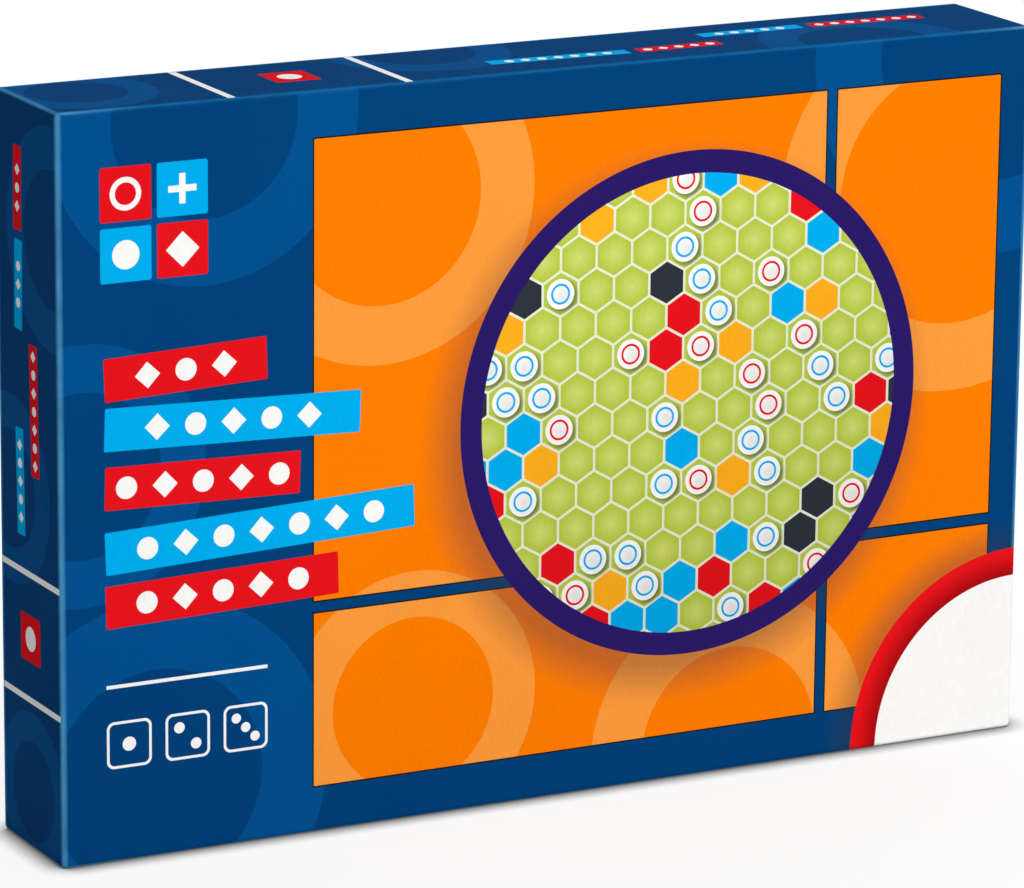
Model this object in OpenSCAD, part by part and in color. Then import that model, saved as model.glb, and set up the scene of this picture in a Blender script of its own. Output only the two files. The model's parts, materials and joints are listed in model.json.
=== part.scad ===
// Letter-tile word game in a two-piece lidded box, standing on its long side.
// Each piece is drawn lying on its back: x across the cover, y up the cover, z from the back
// to the front. stand() then turns it upright, with the cover facing -Y.

/* [Box] */
// Width of the closed box
box_w = 365; // [345:1:390]
// Height of the closed box as it stands
box_h = 252; // [240:1:275]
// Depth of the closed box from the cover to the back
box_d = 50; // [47:0.5:60]
// Thickness of the greyboard panels
grey_t = 1.8; // [1.4:0.1:2.4]
// Thickness of the printed paper wrap
wrap_t = 0.25; // [0.15:0.05:0.4]
// Width of a scored fold line between two panels
score = 0.05; // [0.03:0.01:0.1]
// Clearance between the lid's inside and the base's outside
lid_gap = 0.6; // [0.4:0.1:1]
// How far the lid's walls stop short of the back
lid_reveal = 1; // [0.5:0.25:4]

/* [Game board] */
// Thickness of a panel's greyboard core
core_t = 2.4; // [1.8:0.1:3]
// Thickness of the paper on each side of a panel
sheet_t = 0.2; // [0.1:0.05:0.3]
// Thickness of the tape over the fold
tape_t = 0.1; // [0.06:0.02:0.2]
// Width of the tape on each panel
tape_w = 9; // [5:0.5:15]
// Slit between the two layers of tape when the board is folded
tape_slit = 0.1; // [0.05:0.05:0.4]
// Room between the folded board and each side of the lid
board_side = 4; // [2:0.5:10]
// Room above the folded board
board_top = 13.5; // [5:0.5:40]
// Gap between the board's lower edge and the wall it rests on
board_seat = 0.3; // [0.1:0.1:0.6]
// Room between the folded board and the lid's inside
head_gap = 0.6; // [0.3:0.1:1.5]

/* [Rules leaflet] */
// Width of the folded leaflet
leaflet_w = 210; // [140:1:300]
// Height of the folded leaflet
leaflet_h = 148; // [100:1:210]
// Thickness of the folded leaflet
leaflet_t = 0.6; // [0.3:0.1:1.5]
// Gap between the leaflet and what lies above and below it
lay_gap = 0.2; // [0.1:0.05:0.5]

/* [Tray] */
// Sheet thickness of the formed tray
tray_t = 0.8; // [0.5:0.1:1.2]
// Clearance between the tray and the base's inside
tray_gap = 0.4; // [0.2:0.1:1]
// Width of the deck along the tray's edge
tray_edge = 10; // [8:0.5:14]
// Deck between two wells
tray_web = 8; // [7:0.5:10]
// Corner radius of the deck
deck_r = 3; // [1.5:0.5:8]
// Corner radius of the tile and rack wells
well_r = 1.5; // [0.5:0.25:3]
// Corner radius of the spare well
spare_r = 8; // [2:1:16]
// Height of the skirt round the deck
skirt_h = 12; // [4:1:20]
// Width of a finger channel
finger_w = 26; // [18:1:40]
// Depth of a finger channel
finger_d = 14; // [8:1:17]
// How far a finger channel runs past the last wells
finger_end = 5; // [4.5:0.5:6]
// Gap between a piece and the floor under it
seat_gap = 0.2; // [0.1:0.1:0.4]

/* [Tiles] */
// Width of a square tile
tile_w = 19.5; // [17:0.5:21.5]
// Thickness of a tile without its pad
tile_t = 5.1; // [4:0.1:6]
// Corner radius of a tile
tile_r = 4.2; // [1:0.1:6]
// Width of the raised pad
pad_w = 14; // [10:0.5:15]
// Height of the raised pad
pad_h = 1.5; // [0.8:0.1:2.5]
// Corner radius of the pad
pad_r = 3.2; // [1:0.1:4.5]
// Clearance round a pad in the recess of the tile above it
nest_fit = 0.3; // [0.2:0.05:0.5]
// Gap between two tiles of a stack
stack_gap = 0.1; // [0.05:0.05:0.3]
// Clearance between tiles and the walls of their well
tile_fit = 0.4; // [0.2:0.1:0.8]

/* [Racks] */
// Length of a rack
rack_l = 160; // [140:1:170]
// Height of a rack's ridge
rack_h = 17; // [14:0.5:20]
// Slope of the face that the tiles lean on, in degrees
rack_slope = 40; // [36:1:50]
// Width of the ledge that the tiles stand on
rack_ledge = 6.4; // [5:0.2:8]
// Thickness of the lip at the ledge's front
rack_lip = 1.6; // [1:0.1:2.5]
// Thickness under the corner of ledge and face
rack_sole = 2.8; // [2.2:0.1:4]
// Width of the ridge
rack_ridge = 1.8; // [1.2:0.1:3]
// How far the back leans out at its foot
rack_rake = 1.8; // [0.5:0.1:3]
// Wall thickness of the hollow underside
rack_wall = 1.6; // [1.2:0.1:2.2]
// Clearance between a rack's corners and the round corners of its well
rack_fit = 0.3; // [0.2:0.1:0.8]

/* [Hidden] */
$fn = 48;
cut = 1;

// Tiles in each stack, row by row in the order of the alphabet, with two stacks of blanks last
row_stacks = [[6, 4, 4, 5, 6, 3, 4], [4, 6, 3, 3, 5, 4, 5], [6, 4, 3, 5, 5, 5, 5], [3, 3, 3, 3, 3, 4, 3]];
rows = len(row_stacks);
columns = len(row_stacks[0]);
rack_bays = 3;

// Lid and base
wall_t = wrap_t + grey_t;
lid_in_z = box_d - wall_t;
lid_in_w = box_w - 2 * wall_t;
lid_in_h = box_h - 2 * wall_t;
base_o = wall_t + lid_gap;
base_w = box_w - 2 * base_o;
base_in_w = base_w - 2 * wall_t;
base_in_y = base_o + wall_t;
base_in_h = box_h - 2 * base_in_y;

// Levels, from the lid's inside back to the base's rim
panel_t = core_t + 2 * sheet_t;
fold_gap = 2 * tape_t + tape_slit;
upper_z = lid_in_z - head_gap - panel_t;
fold_z = upper_z - fold_gap / 2;
lower_z = upper_z - fold_gap - panel_t;
leaflet_z = lower_z - lay_gap - leaflet_t;
rim_z = leaflet_z - lay_gap;

// Folded board
panel_w = lid_in_w - 2 * board_side;
panel_y = wall_t + board_seat;
panel_h = lid_in_h - board_seat - board_top;
fold_y = panel_y + panel_h + fold_gap / 2;

// Racks
ledge_dir = [-sin(rack_slope), cos(rack_slope)];
foot = [rack_lip + rack_ledge * sin(rack_slope), rack_sole];
ledge_top = foot + rack_ledge * ledge_dir;
ridge_p = foot[0] + (rack_h - rack_sole) / tan(rack_slope);
rack_d = ridge_p + rack_ridge + rack_rake;
bay_l = (rack_l - (rack_bays + 1) * rack_wall) / rack_bays;

// Tray and its wells
tray_w = base_in_w - 2 * tray_gap;
tray_h = base_in_h - 2 * tray_gap;
tray_y = base_in_y + tray_gap;
deep = rim_z - wall_t - seat_gap - tray_t;
tile_step = tile_w + tile_fit;
stack_step = tile_t + stack_gap;
tile_well_l = columns * tile_step + tile_fit;
tile_well_h = tile_w + 2 * tile_fit;
rack_room = rack_fit + well_r * (1 - sqrt(1 / 2));
rack_well_l = rack_l + 2 * rack_room;
rack_well_h = rack_d + 2 * rack_room;
rack_deep = rack_h + seat_gap + 1;
row_step = rack_well_h + tray_web;
top_row_y = tray_y + tray_h - tray_edge - rack_well_h / 2;
tile_well_x = -tray_w / 2 + tray_edge + tile_well_l / 2;
rack_well_x = tray_w / 2 - tray_edge - rack_well_l / 2;
band_y = top_row_y - (rows - 1) * row_step / 2;
band_h = (rows - 1) * row_step + rack_well_h;
spare_y = tray_y + tray_edge;
spare_h = band_y - band_h / 2 - tray_web - spare_y;

function row_y(row) = top_row_y - row * row_step;
function stack_x(column) = tile_well_x + (column - (columns - 1) / 2) * tile_step;
function stack_count(row, column) =
    min(row_stacks[row][column], floor((deep - seat_gap - pad_h) / stack_step));

// Turns a piece from lying on its back to standing on its long side
module stand() {
    translate([0, box_d / 2, 0]) rotate([90, 0, 0]) children();
}

module slab(low, high) {
    translate(low) cube(high - low);
}

module rounded(w, h, r) {
    square([w - 2 * r, h], center = true);
    square([w, h - 2 * r], center = true);
    for (x = [-1, 1], y = [-1, 1])
        translate([x * (w / 2 - r), y * (h / 2 - r)]) circle(r);
}

// Face panel and four walls of a shallow tray, parted by scored folds
module five_panels(half_w, y0, y1, face_z, wall_z, t) {
    slab([-half_w, y0, face_z[0]], [half_w, y1, face_z[1]]);
    for (y = [y0, y1 - t])
        slab([-half_w, y, wall_z[0]], [half_w, y + t, wall_z[1]]);
    for (x = [-half_w, half_w - t])
        slab([x, y0 + t + score, wall_z[0]], [x + t, y1 - t - score, wall_z[1]]);
}

// Greyboard of the lid
module lid_board() {
    color("Silver") stand()
        five_panels(box_w / 2 - wrap_t, wrap_t, box_h - wrap_t,
            [lid_in_z, box_d - wrap_t], [lid_reveal + wrap_t, lid_in_z - score], grey_t);
}

// Printed paper over the lid
module lid_wrap() {
    color("RoyalBlue") stand()
        five_panels(box_w / 2, 0, box_h,
            [box_d - wrap_t, box_d], [lid_reveal, box_d - wrap_t - score], wrap_t);
}

// Greyboard of the base
module base_board() {
    color("LightGray") stand()
        five_panels(base_w / 2 - wrap_t, base_o + wrap_t, box_h - base_o - wrap_t,
            [wrap_t, wall_t], [wall_t + score, rim_z - wrap_t], grey_t);
}

// Plain paper over the base
module base_wrap() {
    color("MidnightBlue") stand()
        five_panels(base_w / 2, base_o, box_h - base_o,
            [0, wrap_t], [wrap_t + score, rim_z], wrap_t);
}

// One well of the tray, open at the deck. grow is 0 for the hollow and the sheet's thickness
// for the shell round it.
module well(x, y, w, h, depth, r, grow) {
    over = grow > 0 ? 0 : cut;
    translate([x, y, rim_z - depth - grow])
        linear_extrude(depth + grow + over) rounded(w + 2 * grow, h + 2 * grow, r + grow);
}

module wells(grow) {
    for (row = [0 : rows - 1]) {
        well(tile_well_x, row_y(row), tile_well_l, tile_well_h, deep, well_r, grow);
        well(rack_well_x, row_y(row), rack_well_l, rack_well_h, rack_deep, well_r, grow);
    }
    for (x = [tile_well_x, rack_well_x])
        well(x, band_y, finger_w, band_h + 2 * finger_end, finger_d, well_r, grow);
    well(0, spare_y + spare_h / 2, tray_w - 2 * tray_edge, spare_h, deep, spare_r, grow);
}

// Formed tray with wells for the tiles and the racks
module insert_tray() {
    color("Gainsboro") stand() difference() {
        union() {
            translate([0, tray_y + tray_h / 2, rim_z - tray_t])
                linear_extrude(tray_t) rounded(tray_w, tray_h, deck_r);
            translate([0, tray_y + tray_h / 2, rim_z - skirt_h])
                linear_extrude(skirt_h) difference() {
                    rounded(tray_w, tray_h, deck_r);
                    rounded(tray_w - 2 * tray_t, tray_h - 2 * tray_t, deck_r - tray_t);
                }
            wells(tray_t);
        }
        wells(0);
    }
}

// Folded sheet of rules under the board
module rules_leaflet() {
    color("Ivory") stand()
        slab([-leaflet_w / 2, panel_y, leaflet_z],
            [leaflet_w / 2, panel_y + leaflet_h, leaflet_z + leaflet_t]);
}

// One layer of a board panel
module panel_layer(z, t) {
    stand() slab([-panel_w / 2, panel_y, z], [panel_w / 2, panel_y + panel_h, z + t]);
}

// Lower panel, printed side up, and upper panel, printed side down, while folded
module board_lower_core() {
    color("Tan") panel_layer(lower_z + sheet_t, core_t);
}

module board_lower_face() {
    color("YellowGreen") panel_layer(lower_z + sheet_t + core_t, sheet_t);
}

module board_lower_back() {
    color("DarkSlateBlue") panel_layer(lower_z, sheet_t);
}

module board_upper_core() {
    color("Tan") panel_layer(upper_z + sheet_t, core_t);
}

module board_upper_face() {
    color("YellowGreen") panel_layer(upper_z, sheet_t);
}

module board_upper_back() {
    color("DarkSlateBlue") panel_layer(upper_z + sheet_t + core_t, sheet_t);
}

// Tape over the fold, bent double between the panels, with its round crease on the fold's axis
module board_hinge_tape() {
    tail = fold_y - fold_gap / 2 - tape_w;
    color("Indigo") stand() translate([-panel_w / 2, 0, 0]) rotate([90, 0, 90])
        linear_extrude(panel_w) difference() {
            union() {
                translate([tail, fold_z - fold_gap / 2]) square([fold_y - tail, fold_gap]);
                translate([fold_y, fold_z]) circle(fold_gap / 2);
            }
            translate([tail - cut, fold_z - tape_slit / 2]) square([fold_y - tail + cut, tape_slit]);
            translate([fold_y, fold_z]) circle(tape_slit / 2);
        }
}

module rack_profile() {
    polygon([
        [0, 0], [0, ledge_top[1]], ledge_top, foot,
        [ridge_p, rack_h], [ridge_p + rack_ridge, rack_h], [rack_d, 0]
    ]);
}

// Hollow under the sloping face, one wall in from the face, the ridge and the back
function under_face(q) = foot[0] + (q - rack_sole + rack_wall / cos(rack_slope)) / tan(rack_slope);
function before_back(q) = rack_d - rack_rake * q / rack_h - rack_wall;

module rack_hollow() {
    top = rack_h - rack_wall;
    polygon([
        [under_face(-cut), -cut], [min(under_face(top), before_back(top)), top],
        [before_back(top), top], [before_back(-cut), -cut]
    ]);
}

module rack(row) {
    color("DimGray") stand()
        translate([rack_well_x - rack_l / 2, row_y(row) - rack_d / 2, rim_z - rack_deep + seat_gap])
            rotate([90, 0, 90]) difference() {
                linear_extrude(rack_l) rack_profile();
                for (bay = [0 : rack_bays - 1])
                    translate([0, 0, rack_wall + bay * (bay_l + rack_wall)])
                        linear_extrude(bay_l) rack_hollow();
            }
}

// Square tile with a raised pad, and a recess below that takes the pad of the next tile
module tile() {
    recess_w = pad_w + 2 * nest_fit;
    difference() {
        union() {
            linear_extrude(tile_t) rounded(tile_w, tile_w, tile_r);
            linear_extrude(tile_t + pad_h) rounded(pad_w, pad_w, pad_r);
        }
        translate([0, 0, -cut])
            linear_extrude(cut + pad_h + nest_fit) rounded(recess_w, recess_w, pad_r + nest_fit);
    }
}

module tile_stack(row, column) {
    color("WhiteSmoke") stand()
        for (level = [0 : stack_count(row, column) - 1])
            translate([stack_x(column), row_y(row), rim_z - deep + seat_gap + level * stack_step]) tile();
}

lid_board();
lid_wrap();
base_board();
base_wrap();
insert_tray();
rules_leaflet();
board_lower_core();
board_lower_face();
board_lower_back();
board_upper_core();
board_upper_face();
board_upper_back();
board_hinge_tape();
rack(0);  // rack_1
rack(1);  // rack_2
rack(2);  // rack_3
rack(3);  // rack_4
tile_stack(0, 0);  // tiles_a
tile_stack(0, 1);  // tiles_b
tile_stack(0, 2);  // tiles_c
tile_stack(0, 3);  // tiles_d
tile_stack(0, 4);  // tiles_e
tile_stack(0, 5);  // tiles_f
tile_stack(0, 6);  // tiles_g
tile_stack(1, 0);  // tiles_h
tile_stack(1, 1);  // tiles_i
tile_stack(1, 2);  // tiles_j
tile_stack(1, 3);  // tiles_k
tile_stack(1, 4);  // tiles_l
tile_stack(1, 5);  // tiles_m
tile_stack(1, 6);  // tiles_n
tile_stack(2, 0);  // tiles_o
tile_stack(2, 1);  // tiles_p
tile_stack(2, 2);  // tiles_q
tile_stack(2, 3);  // tiles_r
tile_stack(2, 4);  // tiles_s
tile_stack(2, 5);  // tiles_t
tile_stack(2, 6);  // tiles_u
tile_stack(3, 0);  // tiles_v
tile_stack(3, 1);  // tiles_w
tile_stack(3, 2);  // tiles_x
tile_stack(3, 3);  // tiles_y
tile_stack(3, 4);  // tiles_z
tile_stack(3, 5);  // tiles_blank
tile_stack(3, 6);  // tiles_blank
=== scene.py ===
"""Dresses a boxed letter-tile game: printed box, tray, board, racks, tiles, leaflet and a studio stage."""
import json
import math

import bmesh
import bpy
from bmesh.types import BMEdge, BMFace, BMVert
from bpy.props import FloatProperty, FloatVectorProperty, PointerProperty
from bpy.types import Operator, Panel, PropertyGroup
from mathutils import Matrix, Vector


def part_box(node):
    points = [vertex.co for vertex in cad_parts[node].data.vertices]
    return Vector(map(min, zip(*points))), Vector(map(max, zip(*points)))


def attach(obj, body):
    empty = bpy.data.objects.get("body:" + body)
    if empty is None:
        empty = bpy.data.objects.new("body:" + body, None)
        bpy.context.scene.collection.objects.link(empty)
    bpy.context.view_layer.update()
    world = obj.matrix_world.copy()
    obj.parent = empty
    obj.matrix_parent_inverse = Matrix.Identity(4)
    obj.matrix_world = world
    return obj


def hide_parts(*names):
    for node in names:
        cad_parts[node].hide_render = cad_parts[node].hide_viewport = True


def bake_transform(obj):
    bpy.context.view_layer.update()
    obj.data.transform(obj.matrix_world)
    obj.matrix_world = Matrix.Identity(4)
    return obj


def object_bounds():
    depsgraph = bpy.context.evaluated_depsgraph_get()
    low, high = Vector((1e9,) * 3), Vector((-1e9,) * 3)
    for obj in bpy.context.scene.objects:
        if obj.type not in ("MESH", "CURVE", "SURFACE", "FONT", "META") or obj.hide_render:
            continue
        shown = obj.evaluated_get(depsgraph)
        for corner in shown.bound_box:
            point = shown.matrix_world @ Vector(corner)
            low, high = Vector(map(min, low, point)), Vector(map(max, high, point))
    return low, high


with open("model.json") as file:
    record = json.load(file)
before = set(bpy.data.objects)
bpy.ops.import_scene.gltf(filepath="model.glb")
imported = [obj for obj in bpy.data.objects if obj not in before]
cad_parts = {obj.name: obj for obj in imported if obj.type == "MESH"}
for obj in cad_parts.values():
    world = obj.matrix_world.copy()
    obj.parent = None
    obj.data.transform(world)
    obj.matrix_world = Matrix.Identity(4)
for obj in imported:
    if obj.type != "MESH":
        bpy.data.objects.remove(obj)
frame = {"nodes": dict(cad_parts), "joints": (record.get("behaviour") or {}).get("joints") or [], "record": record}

bl_info = {
    "name": "Boxed Letter Game",
    "version": (1, 0, 0),
    "blender": (4, 5, 0),
    "location": "View3D > Sidebar > Letter Game",
    "description": "Printed box, tray, folding board, racks and stacking letter tiles on a studio stage",
    "category": "Object",
}

# The CAD box, kept from straight after the load
CAD_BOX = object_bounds()
LID_LOW, LID_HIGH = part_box("lid_wrap")
BASE_LOW, BASE_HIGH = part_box("base_wrap")
# Where the game board lies and where it folds
BOARD_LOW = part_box("board_lower_face")[0]
HINGE = [joint for joint in frame["joints"] if joint["name"] == "board_unfold"][0]
FOLD_DEPTH, FOLD_HEIGHT = HINGE["pos_m"][1:]

# Prints are laid out in millimetres
MILLIMETRES = 1000.0
# Softness of a printed edge
PRINT_EDGE = 0.15
# About the middle of the lid's walls, from the cover back
WALL_MIDDLE = 25
# Game board: width of a cell, cells each way and the grid's first corner
CELL = 21.0
CELLS = 15
GRID_ACROSS, GRID_ALONG = 18.95, 24.25
# Pitch of the honeycomb, radius of its counters and where a counter's shadow falls
COMB_PITCH = 13.5
COUNTER = 5.1
COUNTER_SHADOW = (0.9, -0.9, 0.0)
# Pitch, disc radius and half diamond of a row of marks, as shares of its tag's half height
ROW_PITCH, ROW_DISC, ROW_DIAMOND = 1.9, 0.52, 0.44
# Pitch of the pip frames
PIP_PITCH = 21
# Distance between the leaflet's lines of print
LINE_PITCH = 4.2
LEAFLET_INK = (0.05, 0.06, 0.1)
# Dark and pale flecks of greyboard
DARK_FLECK, PALE_FLECK = (0.1, 0.085, 0.07), (0.62, 0.58, 0.52)

# Other lengths are in metres: points closer than this are one point
MERGE = 0.000002
# Angle under which faces count as one flat face, and over which an edge is rounded
FLAT_ANGLE, SHARP_ANGLE = math.radians(1), math.radians(30)
# Rounding of the box's rim, the tray and the game board
SHEET_EDGE = 0.0005
# Reach of the rubbed edges, which on the box's paper also carry a painted highlight
BOX_WEAR_AND_HIGHLIGHT, BOARD_WEAR, LEAFLET_WEAR = 0.0021, 0.0009, 0.0004
# How much narrower the box's band of wear and painted highlight is along each axis
BOX_FADE = (1.0, 1.0, 2.2)
# Millimetres from the box's ends over which its wear goes from pale to the painted highlight of the long folds
PALE_FULL, PALE_END = 3, 30
# Leaflet: thickness of its sheets, their places either side of its middle and the room at its edges
LEAFLET_SHEET = 0.0001
LEAFLET_REACHES = (0.00022, 0.00008)
LEAFLET_REAR, LEAFLET_FOLD, LEAFLET_FRONT = 0.0002, 0.0003, 0.0006
# Tape over the board's fold: thickness, place either side of the fold and how near the fold it bends
TAPE_SHEET, TAPE_REACH, TAPE_BEND = 0.00006, 0.00013, 0.00005
TAPE_MAP = "Board place"
# Tile: width, thickness, step of a stack, and width and height of the raised pad
TILE, TILE_THICK, TILE_STEP, PAD, PAD_HEIGHT = 0.0195, 0.0051, 0.0052, 0.014, 0.0015
# Letter: points that nearly meet, slivers, and the printed layer, half of it above the plastic
LETTER_MERGE, LETTER_SLIVER, INK_LAYER = 0.00003, 0.000005, 0.00004
LETTERS = "abcdefghijklmnopqrstuvwxyz"
# Tiles in the two stacks of blanks, which share one node
BLANK_STACKS = (4, 3)
# Depth of the grain in print, greyboard, linen and smooth plastic
PRINT_GRAIN, GREY_GRAIN, LINEN_GRAIN, FINE_GRAIN = 0.00002, 0.00006, 0.00003, 0.00001
# Weight and roughness of the thin varnish over a print
VARNISH, VARNISH_ROUGHNESS = 0.025, 0.3
# Height of the ridges of tucked paper, in depths of the print's grain
TUCK_HEIGHT = 4.0

# Stage: half the floor, and where its plain white starts and is full
FLOOR = 8
WHITE_FROM, WHITE_FULL = 0.18, 0.36
# Painted shade round the object's foot: how far it reaches and how open to the sky its darkest part is
CONTACT_REACH, CONTACT_OPEN = 0.0092, 0.45
# Lamps: size, distance, and the directions they stand in
LAMP_SIZE = (1.6, 1.2)
LAMP_DISTANCE = 2.2
KEY_SIDE, FILL_SIDE = Vector((0.1, -0.85, 0.5)), Vector((0.5, 0.78, 0.37))
# The photograph's camera: its place, where it looks and what is up in it
CAMERA = Vector((-0.9202, -1.7458, 0.6262))
AHEAD = Vector((0.44964, 0.85767, -0.24945)).normalized()
ABOVE = Vector((0.10766, 0.22520, 0.96835)).normalized()

# Sides that half a box is open to, and the material places on its wrap
FRONT, BACK = -1, 1
FACE, LONG_WALL, SHORT_WALL, TURN_IN = range(4)
# The two inputs and the output that a Mix node has for each kind of value
MIX_SOCKETS = {"RGBA": (6, 7, 2), "VECTOR": (4, 5, 1)}
# Sockets shared by the node groups
ZERO, ONE = (0.0, 0.0, 0.0), (1.0, 1.0, 1.0)
MARK = {"U": 0.0, "V": 0.0, "Centre U": 0.0, "Centre V": 0.0}
TAG = {**MARK, "Half Width": 5.0, "Half Height": 5.0, "Turn": 0.0}
TAG_NUMBERS = ("centre_u", "centre_v", "half_width", "half_height")


def ink(code):
    """Linear colour of a six-digit sRGB code."""
    parts = [int(code[start:start + 2], 16) / 255 for start in (0, 2, 4)]
    return tuple(part / 12.92 if part <= 0.04045 else ((part + 0.055) / 1.055) ** 2.4 for part in parts)


def toned(colour, amount):
    """Colour made darker or brighter by a factor."""
    return tuple(amount * part for part in colour)


def line_ink(box):
    """Pale ink between the cells of the honeycomb and of the game board."""
    return tuple(0.3 * lime + 0.7 * white for lime, white in zip(box.lime, box.white))


def colour_setting(name, description, code):
    """Colour property with its default given as an sRGB code."""
    return FloatVectorProperty(
        name=name, description=description, default=ink(code), subtype="COLOR", size=3, min=0, max=1)


def length_setting(name, description, default, low, high):
    """Length property in metres."""
    return FloatProperty(
        name=name, description=description, default=default, min=low, max=high, unit="LENGTH", precision=5)


def power_setting(name, description, default):
    """Power of a lamp in watts."""
    return FloatProperty(name=name, description=description, default=default, min=0, unit="POWER")


def share_setting(name, description, default):
    """Share between nothing and all."""
    return FloatProperty(
        name=name, description=description, default=default, min=0, max=1, subtype="FACTOR")


class BoxSettings(PropertyGroup):
    """Sizes and inks of the two halves of the box."""

    edge_radius: length_setting("Edge radius", "Rounding of the box's edges", 0.0016, 0.0005, 0.003)
    sheet: length_setting("Paper thickness", "Thickness of the printed wrap", 0.0002, 0.0001, 0.00024)
    greyboard: length_setting("Greyboard thickness", "Thickness of the greyboard", 0.0018, 0.001, 0.003)
    turn_in: length_setting("Turn-in", "Width of paper glued down inside the rim", 0.015, 0.005, 0.03)
    blue: colour_setting("Ground blue", "Ground of the cover and the walls", "014179")
    pale_blue: colour_setting("Ghost blue", "Large faint shapes on the blue ground", "02508F")
    orange: colour_setting("Orange", "Large field of the cover", "FF7F00")
    pale_orange: colour_setting("Ghost orange", "Large faint shapes on the orange field", "FE9C3C")
    navy: colour_setting("Navy", "Disc on the cover and margin of the game board", "2A1A66")
    lime: colour_setting("Lime", "Honeycomb of the cover and squares of the game board", "B5C840")
    glow: colour_setting("Glow", "Pale middle of the lime cells", "E2E98C")
    red: colour_setting("Red", "Tags and marks", "E8141C")
    cyan: colour_setting("Cyan", "Tags and marks", "00AEEF")
    amber: colour_setting("Amber", "Marks on the honeycomb and the game board", "FFB01E")
    white: colour_setting("White", "Stripes and plain shapes", "FCFCFA")
    charcoal: colour_setting("Charcoal", "Dark cells of the honeycomb and printed shadows", "2E343C")
    # Rubbed blue is paper worn at the corners and edges, and also a painted highlight where the rounded edges
    # catch light
    rubbed_and_highlight: colour_setting("Rubbed blue", "Paper at worn corners and short edges, partly a painted highlight", "63BBEC")
    # Fold blue is a painted highlight along the long folds of the box's paper
    fold: colour_setting("Fold blue", "Painted highlight along the long folds", "1F81BC")
    grey: colour_setting("Greyboard", "Bare greyboard inside the box", "B3AA9C")


class GameSettings(PropertyGroup):
    """Sizes and colours of what lies in the box."""

    soft_edge: length_setting("Soft edge", "Rounding of the racks' edges", 0.0004, 0.0001, 0.0006)
    letter_size: length_setting("Letter size", "Type size of the letters on the tiles", 0.0118, 0.006, 0.014)
    letter_weight: length_setting(
        "Letter weight", "How much the letters' strokes are thickened", 0.0003, 0, 0.0004)
    tile: colour_setting("Tile plastic", "Moulded tiles", "EDEBE4")
    letter: colour_setting("Letter ink", "Letters on the tiles", "1B2145")
    rack: colour_setting("Rack plastic", "Moulded racks", "1C1E22")
    tray: colour_setting("Tray sheet", "Formed tray", "D5D8DB")
    leaflet: colour_setting("Leaflet paper", "Folded sheet of rules", "F1EEE4")


class StudioSettings(PropertyGroup):
    """Camera and light of the stage."""

    lens: FloatProperty(
        name="Lens", description="Focal length of the camera", default=210.9, min=20, max=400, unit="CAMERA")
    key_power: power_setting("Key light", "Power of the large light over the front", 35)
    fill_power: power_setting("Fill light", "Power of the large light behind the right", 28)
    sky: FloatProperty(
        name="Sky light", description="Strength of the light from all round", default=0.35, min=0, max=2)
    floor_tone: share_setting("Floor tone", "How much light the floor gives back", 0.6)
    floor_glow: share_setting("Floor glow", "Share of plain white in the floor near the object", 0.85)
    # Tone of the floor's painted shade right at the object's foot
    painted_contact_shade: share_setting("Contact tone", "Tone of the floor right at the object's foot", 0.07)


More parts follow.
